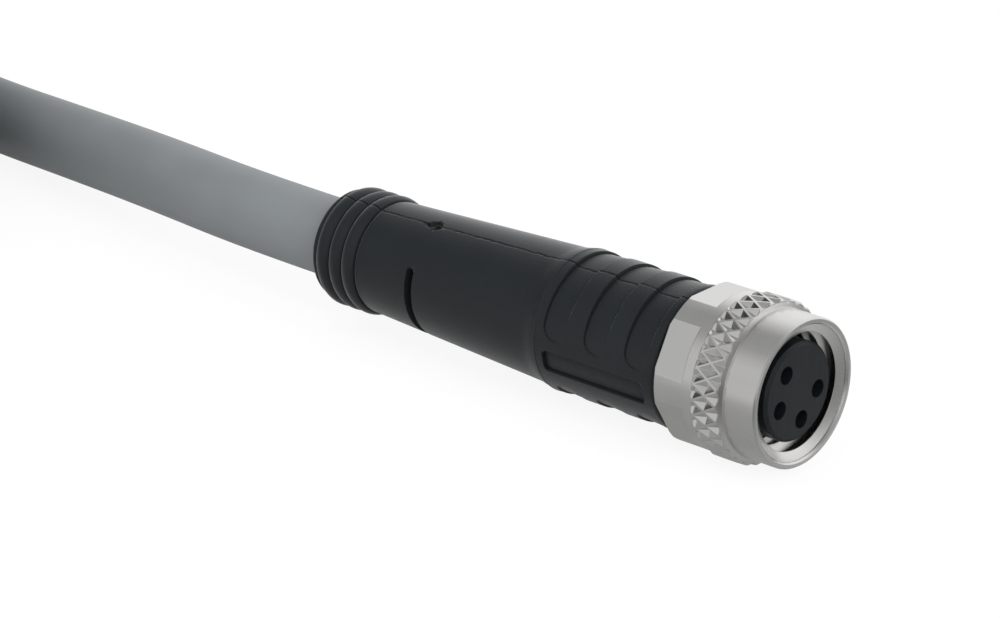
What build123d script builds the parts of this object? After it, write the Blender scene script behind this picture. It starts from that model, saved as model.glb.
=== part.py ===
from build123d import *
import math
import os

os.makedirs("parts", exist_ok=True)

# Sensor cable with a moulded M8 socket connector, in millimetres.
# The connector lies on its coupling nut with its axis along X and its nose towards +X.
# The origin is under the middle of the connector, on the surface that it rests on.
# Stations along the connector are measured back from the front of the nut.

# Coupling nut, outside
nut_length = 7.2
collar_diameter = 9.0
collar_length = 2.3
collar_edge = 0.12
neck_length = 0.1
knurl_diameter = 9.9
knurl_length = 1.95
knurl_teeth = 32
knurl_angle = 30.0
knurl_depth = 0.28
knurl_ridge = 0.1
knurl_lift = 0.03
knurl_middle_row = 3.3
knurl_edge = 0.1
hex_cylinder_diameter = 9.6
across_flats = 9.0
flat_count = 6
flats_length = 2.15
flats_turn = 1.0
nut_rear_edge = 0.12
fuse_overlap = 0.1
cut_margin = 1.0

# Coupling nut, inside
thread_diameter = 8.0
mouth_chamfer = 0.4
flange_thickness = 1.5
flange_bore = 6.3

# Contact carrier
face_recess = 0.35
spigot_diameter = 6.0
spigot_edge = 0.2
ring_groove_diameter = 5.1
ring_groove_front = 3.8
shoulder_front = 4.75
shoulder_diameter = 6.8
nut_float = 0.25
shank_diameter = 6.0
anchor_front = 8.2
anchor_length = 0.8
anchor_diameter = 7.0
carrier_rear = 10.6

# Contacts
contact_circle = 3.6
contact_angles = (130.0, -10.0, 280.0, 200.0)
pin_hole_diameter = 1.1
web_thickness = 0.75
socket_diameter = 1.6
socket_bore = 1.04
socket_bore_depth = 4.5
socket_length = 6.3
stem_diameter = 1.2
cup_front = 9.6
cup_length = 3.0
cup_bore = 0.84
cup_bore_depth = 2.4
contact_clearance = 0.02

# Seal ring
seal_section = 0.9

# Cable and its cores
cable_diameter = 5.0
cable_length = 1500.0
core_diameter = 1.2
conductor_diameter = 0.8
core_circle = 1.9
core_lay_angles = (105.0, 15.0, 285.0, 195.0)
core_straight = 1.4
core_bend_radius = 4.0
jacket_front = 20.5

# Inner moulding
inner_moulding_diameter = 6.4
inner_moulding_rear = 22.0

# Grip body
body_gap = 0.2
body_turn = 17.5
grip_diameter = 8.8
front_chamfer = 0.3
grip_rear = 16.7
grip_ramp = 1.1
waist_diameter = 8.42
tail_diameter = 7.1
bead_front = 32.15
bead_count = 3
bead_pitch = 1.07
bead_diameter = 7.6
crease_diameter = 7.06
lip_length = 0.54
lip_diameter = 6.9

# Finger pockets of the grip
pocket_count = 3
pocket_front_step = 9.83
pocket_pitch = 3.1
pocket_length = 1.75
pocket_depth = 0.27
pocket_front_depth = 0.22
pocket_half_angle = 68.0
pocket_corner = 0.9
pocket_front_corner = 0.5

# Label recess, relief slot and gate mark
label_front = 8.35
label_length = 7.7
label_height = 1.42
label_angle = 87.0
label_depth = 0.22
label_corner = 0.3
slot_station = 27.43
slot_width = 0.56
slot_floor_diameter = 5.4
slot_corner = 0.22
slot_start_angle = 49.0
gate_station = 27.53
gate_length = 1.1
gate_width = 0.66
gate_depth = 0.2

# Coil that stores the length of cable, and the tie round it
coil_start = (-77.5, 6.7)
coil_turns = 8.22
coil_turns_across = 3
coil_turns_high = 3
coil_edge = 2.0
coil_end_angle = 170.0
empty_row_sweep = 120.0
tie_angle = 150.0
tie_width = 4.0
tie_thickness = 1.0
tie_corner = 2.5
tie_head = 4.0
tie_clearance = 0.05

# Stripped far end, lying in the empty row on top of the coil
end_core_straight = 3.0
end_core_aside = 7.0
end_core_bed = 12.0
end_core_reach = 24.0
end_core_step = 4.0
end_core_pitch = 1.25
end_tip_length = 5.0
end_tip_diameter = 0.8
end_tip_clearance = 0.08
end_lay_angles = (45.0, 135.0, 225.0, 315.0)
end_order = (3, 0, 1, 2)
core_names = ("brown", "white", "blue", "black")

# Route of the cable after the connector: down to the surface and on to the coil
run_points = (
    (-26.0, 0.0, 4.95),
    (-37.0, 1.6, 4.55),
    (-48.0, 4.2, 3.35),
    (-57.5, 6.0, 2.5),
    (-64.7, 6.7, 2.5),
)

overall_length = bead_front + bead_count * bead_pitch + lip_length
nose_x = overall_length / 2
axis_height = knurl_diameter / 2
body_front = nut_length + body_gap
outlet = (-nose_x, 0.0, axis_height)

# The coil takes the rest of the cable's length, counted round the middle of its bundle.
run_stops = (outlet, *run_points, (*coil_start, run_points[-1][2]))
run_length = sum(math.dist(here, there) for here, there in zip(run_stops, run_stops[1:]))
stored_length = cable_length - (overall_length - jacket_front) - run_length
coil_middle = stored_length / (2 * math.pi * coil_turns)
row_offset = (coil_turns_across - 1) / 2 * cable_diameter
coil_across = coil_turns_across * cable_diameter
coil_height = coil_turns_high * cable_diameter
coil_inner = coil_middle - coil_across / 2
coil_outer = coil_middle + coil_across / 2
coil_centre = (coil_start[0], coil_start[1] - coil_middle - row_offset)
last_row_radius = coil_middle - row_offset
last_row_floor = coil_height - cable_diameter


def place(shape):
    """Move a piece from the connector's own axis to where the connector lies."""
    return Pos(nose_x, 0, axis_height) * shape


def save(shape, name):
    export_step(shape, f"parts/{name}.step")
    print(f"{name}: {len(shape.solids())} solid, {shape.volume:.2f} mm3")


def outline(*steps):
    """Face from points (station, radius). A step of four numbers is an arc: middle, then end."""
    edges = []
    here = steps[0]
    for step in steps[1:]:
        if len(step) == 4:
            there = step[2:]
            edges.append(ThreePointArc(here, step[:2], there))
        else:
            there = step
            edges.append(Line(here, there))
        here = there
    edges.append(Line(here, steps[0]))
    return make_face(edges)


def turned(*steps, degrees=360.0, start=0.0):
    """Revolve an outline about the connector's axis. Angles run from the top towards -Y."""
    section = Plane.XZ * outline(*steps)
    return Rot(start, 0, 0) * revolve(section, Axis.X, degrees)


def rod(diameter, front, rear, y=0.0, z=0.0):
    """Round rod along the axis between two stations."""
    length = rear - front
    return Pos(-(front + rear) / 2, y, z) * Rot(0, 90, 0) * Cylinder(diameter / 2, length)


def knurl_pit(half_length, half_width):
    """Four-sided pit with its point inwards and its long diagonal along X."""
    crest = knurl_diameter / 2
    over = crest + knurl_lift
    grow = 1 + knurl_lift / knurl_depth
    point = (0, 0, crest - knurl_depth)
    corners = [
        (half_length * grow, 0, over),
        (0, half_width * grow, over),
        (-half_length * grow, 0, over),
        (0, -half_width * grow, over),
    ]
    faces = [make_face(Polyline(*corners, close=True))]
    for here, there in zip(corners, corners[1:] + corners[:1]):
        faces.append(make_face(Polyline(point, here, there, close=True)))
    return Solid(Shell(faces))


def ring_of_knurls():
    """Band with rows of diamond pits; thin ridges stand between them and cross each other."""
    front = collar_length + neck_length
    rear = front + knurl_length
    crest = knurl_diameter / 2
    core = crest - knurl_depth - fuse_overlap
    edge = knurl_edge
    band = turned(
        (-front, core),
        (-front, crest - edge),
        (-front - edge, crest),
        (-rear + edge, crest),
        (-rear, crest - edge),
        (-rear, core),
    )
    slope = math.tan(math.radians(knurl_angle))
    row_step = math.pi * knurl_diameter / knurl_teeth / 2 / slope
    half_length = row_step - knurl_ridge
    pit = knurl_pit(half_length, half_length * slope)
    cutters = []
    for row in (-1, 0, 1):
        for number in range(knurl_teeth):
            around = 360.0 / knurl_teeth * (number + row % 2 / 2)
            cutters.append(Rot(around, 0, 0) * Pos(row * row_step - knurl_middle_row, 0, 0) * pit)
    return band.cut(*cutters)


def make_coupling_nut():
    collar = collar_diameter / 2
    hexed = hex_cylinder_diameter / 2
    bore = thread_diameter / 2
    knurl_front = collar_length + neck_length
    knurl_rear = knurl_front + knurl_length
    under_knurl = knurl_diameter / 2 - knurl_depth
    corner_step = 360.0 / flat_count
    turned_blank = turned(
        (-mouth_chamfer, bore),
        (0, bore + mouth_chamfer),
        (0, collar - collar_edge),
        (-collar_edge, collar),
        (-collar_length, collar),
        (-knurl_front, hexed),
        (-knurl_front, under_knurl),
        (-knurl_rear, under_knurl),
        (-knurl_rear, hexed),
        (-nut_length + nut_rear_edge, hexed),
        (-nut_length, hexed - nut_rear_edge),
        (-nut_length, flange_bore / 2),
        (-nut_length + flange_thickness, flange_bore / 2),
        (-nut_length + flange_thickness, bore),
    )
    hexagon = RegularPolygon(
        across_flats / 2, flat_count, major_radius=False, rotation=corner_step / 2
    )
    prism = Rot(0, 90, 0) * extrude(hexagon, flats_length / 2, both=True)
    outside = rod(knurl_diameter + cut_margin, -flats_length / 2, flats_length / 2)
    waste = Rot(flats_turn, 0, 0) * (outside - prism)
    blank = turned_blank - Pos(-nut_length + flats_length / 2, 0, 0) * waste
    return blank + ring_of_knurls()


def on_circle(diameter, angle):
    """Place (y, z) on a circle round the axis. Angles run from +Y towards the top."""
    return (
        diameter / 2 * math.cos(math.radians(angle)),
        diameter / 2 * math.sin(math.radians(angle)),
    )


def contact_places():
    return [on_circle(contact_circle, angle) for angle in contact_angles]


def make_contact_carrier():
    spigot = spigot_diameter / 2
    groove = ring_groove_diameter / 2
    shoulder = shoulder_diameter / 2
    shank = shank_diameter / 2
    shoulder_rear = nut_length - flange_thickness - nut_float
    blank = turned(
        (-face_recess, 0),
        (-face_recess, spigot - spigot_edge),
        (-face_recess - spigot_edge, spigot),
        (-ring_groove_front, spigot),
        (-ring_groove_front, groove),
        (-shoulder_front, groove),
        (-shoulder_front, shoulder),
        (-shoulder_rear, shoulder),
        (-shoulder_rear, shank),
        (-anchor_front, shank),
        (-anchor_front, anchor_diameter / 2),
        (-anchor_front - anchor_length, anchor_diameter / 2),
        (-anchor_front - anchor_length, shank),
        (-carrier_rear, shank),
        (-carrier_rear, 0),
    )
    cavity = socket_diameter + 2 * contact_clearance
    web_rear = face_recess + web_thickness
    for y, z in contact_places():
        blank -= rod(pin_hole_diameter, face_recess, web_rear, y, z)
        blank -= rod(cavity, web_rear, carrier_rear, y, z)
    return blank


def make_contact(y, z):
    front = face_recess + web_thickness + contact_clearance
    cup_rear = cup_front + cup_length
    contact = rod(socket_diameter, front, front + socket_length, y, z)
    contact += rod(stem_diameter, front + socket_length, cup_front, y, z)
    contact += rod(socket_diameter, cup_front, cup_rear, y, z)
    contact -= rod(socket_bore, front, front + socket_bore_depth, y, z)
    contact -= rod(cup_bore, cup_rear - cup_bore_depth, cup_rear, y, z)
    return contact


def make_seal_ring():
    centre = (ring_groove_diameter + seal_section) / 2
    station = -shoulder_front + seal_section / 2
    return Pos(station, 0, 0) * Rot(0, 90, 0) * Torus(centre, seal_section / 2)


def make_core(number):
    """One core, from its conductor in the contact's cup to the end of the cable's jacket."""
    cup_rear = cup_front + cup_length
    y, z = on_circle(contact_circle, contact_angles[number])
    cable_y, cable_z = on_circle(core_circle, core_lay_angles[number])
    path = FilletPolyline(
        (-cup_rear, y, z),
        (-cup_rear - core_straight, y, z),
        (-jacket_front + core_straight, cable_y, cable_z),
        (-jacket_front, cable_y, cable_z),
        radius=core_bend_radius,
    )
    start = Plane(origin=(-cup_rear, y, z), z_dir=(-1, 0, 0))
    insulation = sweep(start * Circle(core_diameter / 2), path)
    return insulation + rod(conductor_diameter, cup_rear - cup_bore_depth, cup_rear, y, z)


def make_moulded_in_cable():
    return rod(cable_diameter, jacket_front, overall_length)


def make_inner_moulding(inside):
    block = rod(inner_moulding_diameter, carrier_rear, inner_moulding_rear)
    cups = [rod(socket_diameter, carrier_rear, cup_front + cup_length, y, z) for y, z in contact_places()]
    return block.cut(*inside, *cups)


def grip_blank():
    grip = grip_diameter / 2
    bead = bead_diameter / 2
    crease = crease_diameter / 2
    steps = [
        (-body_front, 0),
        (-body_front, grip - front_chamfer),
        (-body_front - front_chamfer, grip),
        (-grip_rear, grip),
        (-grip_rear - grip_ramp, waist_diameter / 2),
        (-bead_front, tail_diameter / 2),
        (-bead_front, crease),
    ]
    for number in range(bead_count):
        front = bead_front + number * bead_pitch
        steps.append((-front - bead_pitch / 2, bead, -front - bead_pitch, crease))
    steps += [
        (-overall_length + lip_length, lip_diameter / 2),
        (-overall_length + lip_length / 2, lip_diameter / 2),
        (-overall_length, lip_diameter / 2 - lip_length / 2),
        (-overall_length, 0),
    ]
    return turned(*steps)


def pocket_cutter(step_station, middle_angle):
    """Finger pocket with a step at each end and round corners, a little deeper at its rear."""
    grip = grip_diameter / 2
    over = grip + cut_margin
    cutter = turned(
        (-step_station, grip - pocket_depth),
        (-step_station, over),
        (-step_station + pocket_length, over),
        (-step_station + pocket_length, grip - pocket_front_depth),
        degrees=2 * pocket_half_angle,
        start=middle_angle - pocket_half_angle,
    )
    cutter = fillet(cutter.edges().filter_by(GeomType.LINE).group_by(Axis.X)[0], pocket_corner)
    front_edges = cutter.edges().filter_by(GeomType.LINE).group_by(Axis.X)[-1]
    return fillet(front_edges, pocket_front_corner)


def label_cutter():
    """Shallow recess with round corners on the side of the grip, left bare."""
    floor = grip_diameter / 2 - label_depth
    pad = RectangleRounded(label_length, label_height, label_corner)
    column = Rot(label_angle, 0, 0) * extrude(pad, grip_diameter)
    middle = -(label_front + label_length / 2)
    return Pos(middle, 0, 0) * column - rod(2 * floor, 0, overall_length)


def slot_cutter():
    floor = slot_floor_diameter / 2
    over = grip_diameter / 2 + cut_margin
    half = slot_width / 2
    cutter = turned(
        (-slot_station - half, floor),
        (-slot_station - half, over),
        (-slot_station + half, over),
        (-slot_station + half, floor),
        degrees=360 - 2 * slot_start_angle,
        start=slot_start_angle,
    )
    corners = cutter.edges().filter_by(GeomType.LINE).filter_by(Axis.X, reverse=True)
    return fillet(corners, slot_corner)


def gate_cutter():
    pad = SlotOverall(gate_length, gate_width)
    share = (gate_station - grip_rear) / (bead_front - grip_rear)
    surface = (waist_diameter + (tail_diameter - waist_diameter) * share) / 2
    return Pos(-gate_station, 0, surface - gate_depth) * extrude(pad, gate_depth + cut_margin)


def make_grip_body(inside):
    body = grip_blank()
    for number in range(pocket_count):
        station = pocket_front_step + number * pocket_pitch
        for middle_angle in (0.0, 180.0):
            body -= pocket_cutter(station, middle_angle)
    body -= label_cutter()
    body -= slot_cutter()
    body -= gate_cutter()
    body = Rot(body_turn, 0, 0) * body
    return body.cut(*inside)


def at_tie(piece):
    """Move a piece from the middle of the bundle's section to where the tie holds the coil."""
    return Pos(*coil_centre, coil_height / 2) * Rot(0, 0, tie_angle) * Pos(coil_middle, 0, 0) * piece


def tie_window():
    return RectangleRounded(
        coil_across - 2 * tie_thickness,
        coil_height - 2 * tie_thickness,
        tie_corner - tie_thickness,
    )


def make_coil_tie():
    """Flat strap round the bundle of turns, with its head outside the coil."""
    ring = RectangleRounded(coil_across, coil_height, tie_corner) - tie_window()
    strap = Rot(90, 0, 0) * extrude(ring, tie_width / 2, both=True)
    strap += Pos(coil_across / 2 + tie_head / 2, 0, 0) * Box(tie_head, tie_head, tie_head)
    return at_tie(strap)


def tie_notch():
    """Cutter for where the strap draws the turns together."""
    around = Rectangle(coil_across + 2 * cut_margin, coil_height + 2 * cut_margin) - tie_window()
    return at_tie(Rot(90, 0, 0) * extrude(around, tie_width / 2 + tie_clearance, both=True))


def make_cable_coil():
    """Outer shape of the stored turns: a ring whose top inner row is empty past the cable's end."""
    section = Pos(coil_middle, coil_height / 2) * Rectangle(coil_across, coil_height)
    lowest_inside = (coil_inner, 0)
    corners = section.vertices().sort_by_distance(lowest_inside)[1:]
    ring = revolve(Plane.XZ * fillet(corners, coil_edge), Axis.Z, 360)
    over = cable_diameter + cut_margin
    empty_row = Pos(coil_inner - cut_margin, last_row_floor) * Rectangle(
        over, over, align=(Align.MIN, Align.MIN)
    )
    emptied = revolve(Plane.XZ * empty_row, Axis.Z, empty_row_sweep)
    ring -= Rot(0, 0, coil_end_angle) * emptied
    return Pos(*coil_centre, 0) * ring - tie_notch()


def corner_radii(points):
    """Largest tangent arc at each corner: 0.45 of the shorter run over tan of half the turn."""
    radii = []
    for before, corner, after in zip(points, points[1:], points[2:]):
        first = Vector(*corner) - Vector(*before)
        second = Vector(*after) - Vector(*corner)
        turn = first.get_angle(second)
        shorter = min(first.length, second.length)
        radii.append(0.45 * shorter / math.tan(math.radians(turn / 2)))
    return radii


def tube(points, diameter):
    """Round tube along straight runs joined by tangent arcs."""
    radii = corner_radii(points)
    path = FilletPolyline(*points, radius=radii)
    start = Plane(origin=points[0], z_dir=Vector(*points[1]) - Vector(*points[0]))
    solid = sweep(start * Circle(diameter / 2), path)
    section = math.pi * diameter**2 / 4
    print("tube radii", [round(radius, 1) for radius in radii])
    print(f"tube volume {solid.volume:.2f}, section times length {section * path.length:.2f}")
    return solid


def make_cable_run(coil):
    return tube((outlet, *run_points), cable_diameter) - coil


def on_row(radius, reach, height):
    """Point in the last row, at a radius and a distance past the end of the jacket."""
    angle = math.radians(coil_end_angle) + reach / last_row_radius
    return (
        coil_centre[0] + radius * math.cos(angle),
        coil_centre[1] + radius * math.sin(angle),
        height,
    )


def make_end_core(number):
    """Stripped core from the cut end of the jacket: aside, down to the ledge, then along it."""
    across, up = on_circle(core_circle, end_lay_angles[number])
    start_radius = last_row_radius + across
    start_height = last_row_floor + cable_diameter / 2 + up
    own_radius = last_row_radius + (end_order[number] - (len(core_names) - 1) / 2) * end_core_pitch
    own_height = last_row_floor + core_diameter / 2
    points = [
        on_row(start_radius, 0, start_height),
        on_row(start_radius, end_core_straight, start_height),
        on_row(own_radius, end_core_aside, start_height),
    ]
    reach = end_core_bed
    while reach <= end_core_reach:
        points.append(on_row(own_radius, reach, own_height))
        reach += end_core_step
    core = tube(points, core_diameter)
    start = Vector(*points[-1])
    end = Vector(*on_row(own_radius, reach - end_core_step + end_tip_length, own_height))
    along = (end - start).normalized()
    middle = (start + end) / 2 + along * end_tip_clearance
    tip = Plane(origin=middle, z_dir=along) * Cylinder(end_tip_diameter / 2, (end - start).length)
    return core, tip


contacts = [make_contact(y, z) for y, z in contact_places()]
cores = [make_core(number) for number in range(len(core_names))]
moulded_in = make_moulded_in_cable()
carrier = make_contact_carrier()
inner_moulding = make_inner_moulding([moulded_in, *cores])
filled_block = rod(inner_moulding_diameter, carrier_rear, inner_moulding_rear)
carrier_filling = contact_circle + socket_diameter + fuse_overlap
filled_carrier = carrier + rod(carrier_filling, face_recess + fuse_overlap, carrier_rear)
coil = make_cable_coil()

save(place(make_coupling_nut()), "coupling_nut")
save(place(carrier), "contact_carrier")
save(place(make_seal_ring()), "seal_ring")
save(place(inner_moulding), "inner_moulding")
save(place(make_grip_body([moulded_in, filled_block, filled_carrier])), "grip_body")
save(place(moulded_in), "moulded_in_cable")
for number, (contact, core) in enumerate(zip(contacts, cores)):
    save(place(contact), f"contact_{number + 1}")
    save(place(core), f"core_{core_names[number]}")
save(make_cable_run(coil), "cable_run")
save(coil, "cable_coil")
save(make_coil_tie(), "coil_tie")
for number, name in enumerate(core_names):
    core, tip = make_end_core(number)
    save(core, f"end_core_{name}")
    save(tip, f"end_tip_{name}")
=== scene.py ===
# %% [markdown]
# # A sensor cable with a moulded socket connector
#
# The object is a short black connector moulded onto a grey cable. A metal coupling nut
# turns freely on its nose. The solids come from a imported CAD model, which fixes every
# size and place. This script gives them their looks: the cable as one smooth curve, the
# grip as a soft moulded skin, the nut's thread, all finishes, the floor and the lights.

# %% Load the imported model
import math

import bpy
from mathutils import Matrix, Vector


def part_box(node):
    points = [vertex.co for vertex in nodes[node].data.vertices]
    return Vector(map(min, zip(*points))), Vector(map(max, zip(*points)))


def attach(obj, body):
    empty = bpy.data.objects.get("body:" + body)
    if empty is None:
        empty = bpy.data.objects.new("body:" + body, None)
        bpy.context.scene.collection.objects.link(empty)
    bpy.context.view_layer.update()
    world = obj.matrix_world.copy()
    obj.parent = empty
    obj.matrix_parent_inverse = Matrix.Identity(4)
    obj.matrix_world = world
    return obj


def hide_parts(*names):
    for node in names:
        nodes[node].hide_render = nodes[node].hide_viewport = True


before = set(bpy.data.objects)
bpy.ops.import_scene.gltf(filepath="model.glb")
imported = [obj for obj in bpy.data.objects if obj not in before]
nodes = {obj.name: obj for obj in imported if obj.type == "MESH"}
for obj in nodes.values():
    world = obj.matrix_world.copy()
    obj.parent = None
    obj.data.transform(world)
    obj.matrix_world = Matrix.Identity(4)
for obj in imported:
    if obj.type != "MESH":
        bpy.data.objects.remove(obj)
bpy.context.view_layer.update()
mm = 0.001

# %% [markdown]
# ## The connector's own measure
#
# Every place on the connector is given as a station, the distance back from the front of
# the nut, and an angle round the axis, from the top towards the camera's side. These few
# lines turn both into points of the shared frame.

# %% Stations and angles
nut_low, nut_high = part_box("coupling_nut")
body_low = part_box("grip_body")[0]
nose_x = nut_high.x
axis_z = (nut_low.z + nut_high.z) / 2
outlet_x = body_low.x
overall_length = nose_x - outlet_x


def on_axis(station):
    """X of a station given in millimetres."""
    return nose_x - station * mm


def at(station, radius, angle):
    """Point of the frame from a station and a radius in millimetres and an angle in degrees."""
    turn = math.radians(angle)
    return Vector((
        on_axis(station),
        -radius * mm * math.sin(turn),
        axis_z + radius * mm * math.cos(turn),
    ))


print(f"connector {overall_length / mm:.2f} mm long, axis {axis_z / mm:.2f} mm up")

# %% [markdown]
# ## Camera
#
# The picture was taken with a long lens, a little above the object and from its front
# right. The long lens keeps the far end of the grip nearly as large as the near end.

# %% Camera
camera_azimuth = 42.16
camera_elevation = 21.85
camera_place = (0.14567, -0.16677, 0.0941)
camera_lens = 144.0

bpy.ops.object.camera_add(
    location=camera_place,
    rotation=(math.radians(90 - camera_elevation), 0, math.radians(camera_azimuth)),
)
camera = bpy.context.object
camera.name = "camera"
camera.data.lens = camera_lens
camera.data.clip_start = 0.01
bpy.context.scene.camera = camera
print("camera lens", camera.data.lens)

# %% [markdown]
# ## The cable
#
# The cable is one length of round flex. Only its first few centimetres are in view: it
# leaves the grip, sinks to the surface it lies on and runs out of the picture. The rest is
# put away as a tied coil just outside the view. A curve with a round bevel suits it: the
# line through a few given points is smooth, and the coil is a loop that walks round and
# steps from row to row, as a hand that winds a coil does.

# %% Route of the cable
cable_diameter = 5.0 * mm
cable_length = 1.5
moulded_length = 15.4 * mm
run_points = (
    (-26.0, 0.0, 4.95),
    (-37.0, 1.6, 4.55),
    (-48.0, 4.2, 3.35),
    (-57.5, 6.0, 2.5),
    (-64.7, 6.7, 2.5),
)
coil_start = Vector((-77.5, 6.7, 2.5)) * mm
coil_turns = 8.22

outlet = Vector((outlet_x, 0, axis_z))
route = [outlet] + [Vector(point) * mm for point in run_points]
stops = route + [coil_start]
run_length = sum((there - here).length for here, there in zip(stops, stops[1:]))
stored_length = cable_length - moulded_length - run_length
coil_middle = stored_length / (2 * math.pi * coil_turns)
outer_row = coil_middle + cable_diameter
coil_centre = Vector((coil_start.x, coil_start.y - outer_row, 0))
print(f"run {run_length:.4f} m, coil middle radius {coil_middle / mm:.2f} mm")

# %% [markdown]
# The coil is wound in three layers of three turns. Each layer's turns all step sideways in
# one place, and the climb to the next layer comes just before it, so that no turn has to
# pass through another. Each stretch is degrees walked, then rows moved in and up.

# %% Turns of the coil
degrees_per_point = 20
first_angle = 90
stretches = (
    (320, 0, 0), (40, -1, 0), (320, 0, 0), (40, -1, 0), (280, 0, 0), (40, 0, 1),
    (280, 0, 0), (40, 1, 0), (320, 0, 0), (40, 1, 0), (280, 0, 0), (40, 0, 1),
    (280, 0, 0), (40, -1, 0), (320, 0, 0), (40, -1, 0), (240, 0, 0),
)
# a smooth line through points on a circle runs inside it, so the points stand a little out
stand_out = 1 / math.cos(math.radians(degrees_per_point / 2))


def coil_point(angle, radius, height):
    """Point of the coil from an angle in degrees and a radius and height in metres."""
    turn = math.radians(angle)
    return coil_centre + Vector((radius * math.cos(turn), radius * math.sin(turn), height))


row_radius = outer_row
row_height = coil_start.z
angle = first_angle
for degrees, rows_out, rows_up in stretches:
    steps = degrees // degrees_per_point
    for step in range(steps):
        share = step / steps
        radius = row_radius + rows_out * cable_diameter * share
        height = row_height + rows_up * cable_diameter * share
        route.append(coil_point(angle, radius * stand_out, height))
        angle += degrees_per_point
    row_radius += rows_out * cable_diameter
    row_height += rows_up * cable_diameter
coil_end_angle = angle % 360
route.append(coil_point(angle, row_radius, row_height))
print("points of the route:", len(route), "jacket ends at", coil_end_angle, "degrees")

# %% [markdown]
# The route becomes one open NURBS curve, which has no kinks and stays inside its points.
# Its end at the coil is bare: the four cores and their tips are solids of the CAD model
# that lie at the coil, as the strap round it does, and are only gathered in a list here.

# %% Cable as a curve
cable_data = bpy.data.curves.new("cable", "CURVE")
cable_data.dimensions = "3D"
spline = cable_data.splines.new("NURBS")
spline.points.add(len(route) - 1)
for point, place in zip(spline.points, route):
    point.co = (*place, 1)
    point.radius = cable_diameter / 2
spline.order_u = 3
spline.use_endpoint_u = True
cable_data.resolution_u = 6
# a curve's box reaches each point's radius beyond it, so the radius holds the thickness
cable_data.bevel_depth = 1.0
cable_data.bevel_resolution = 22
cable_data.use_fill_caps = True
cable = bpy.data.objects.new("cable", cable_data)
bpy.context.collection.objects.link(cable)
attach(cable, "connector")
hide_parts("cable_run", "cable_coil")

end_names = ("brown", "white", "blue", "black")
on_cable = [nodes["coil_tie"]]
on_cable += [nodes[f"end_core_{name}"] for name in end_names]
on_cable += [nodes[f"end_tip_{name}"] for name in end_names]
print("cable made")

# %% [markdown]
# ## Small helpers for modelling
#
# Mesh operators act on whatever is selected, so each piece starts from a clean selection.
# Two pieces of this object are rings: a closed profile spun once round the axis, as on a
# lathe. The spin's first and last profile fall together and are merged.

# %% Modelling helpers
def deselect():
    """Leave nothing selected."""
    bpy.ops.object.select_all(action="DESELECT")


def only(piece):
    """Make one object the selected and active one."""
    deselect()
    piece.select_set(True)
    bpy.context.view_layer.objects.active = piece


def apply_modifiers(piece):
    """Turn the piece's modifiers into its own mesh."""
    only(piece)
    for modifier in list(piece.modifiers):
        bpy.ops.object.modifier_apply(modifier=modifier.name)


def smooth_by_angle(piece, degrees):
    """Shade smooth wherever two faces meet at less than the angle."""
    only(piece)
    bpy.ops.object.shade_smooth_by_angle(angle=math.radians(degrees))


def finish_place(piece):
    """Put the object's place into its mesh, so that the object itself sits at the origin."""
    only(piece)
    bpy.ops.object.transform_apply(location=True, rotation=True, scale=True)


def triangles(piece):
    """Number of triangles in the piece's mesh."""
    return sum(len(polygon.vertices) - 2 for polygon in piece.data.polygons)


def spin_ring(name, profile, steps):
    """Ring from a closed profile of stations and radii, spun round the axis."""
    mesh = bpy.data.meshes.new(name)
    points = [tuple(at(station, radius, 0)) for station, radius in profile]
    edges = [(number, (number + 1) % len(points)) for number in range(len(points))]
    mesh.from_pydata(points, edges, [])
    ring = bpy.data.objects.new(name, mesh)
    bpy.context.collection.objects.link(ring)
    only(ring)
    bpy.ops.object.mode_set(mode="EDIT")
    bpy.ops.mesh.select_all(action="SELECT")
    bpy.ops.mesh.spin(
        steps=steps, angle=2 * math.pi, center=(0, 0, axis_z), axis=(1, 0, 0), dupli=False
    )
    bpy.ops.mesh.select_all(action="SELECT")
    bpy.ops.mesh.remove_doubles(threshold=1e-6)
    bpy.ops.mesh.normals_make_consistent(inside=False)
    bpy.ops.object.mode_set(mode="OBJECT")
    return ring


print("modelling helpers made")


# %% [markdown]
# ## The grip
#
# The black grip is moulded in one piece over the contacts and the cable. Its skin is soft:
# every step and edge has a small round. It could be cut out of a cylinder with booleans,
# but their edges stay hard. So a profile line is drawn along the body and spun round the
# axis, and then the finger pockets, the label recess, the relief slot and the gate mark
# are pressed in by moving the skin's points inwards, as a tool does to clay.

# %% Outline of the grip
body_front = 7.4
front_round = 0.35
grip_radius = 4.4
grip_rear = 16.7
ramp_end = 17.8
waist_radius = 4.21
bead_front = 32.15
tail_radius = 3.55
bead_count = 3
bead_pitch = 1.07
bead_rise = 0.27
# below 1 a bead is fuller than a plain wave and the crease beside it is sharper
bead_fullness = 0.62
crease_radius = 3.53
first_crease_depth = 0.06
first_crease_length = 0.14
mould_step = 0.025
lip_front = bead_front + bead_count * bead_pitch
body_rear = overall_length / mm


def ease(value):
    """Smooth step from 0 to 1."""
    value = min(max(value, 0.0), 1.0)
    return value * value * (3 - 2 * value)


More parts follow.
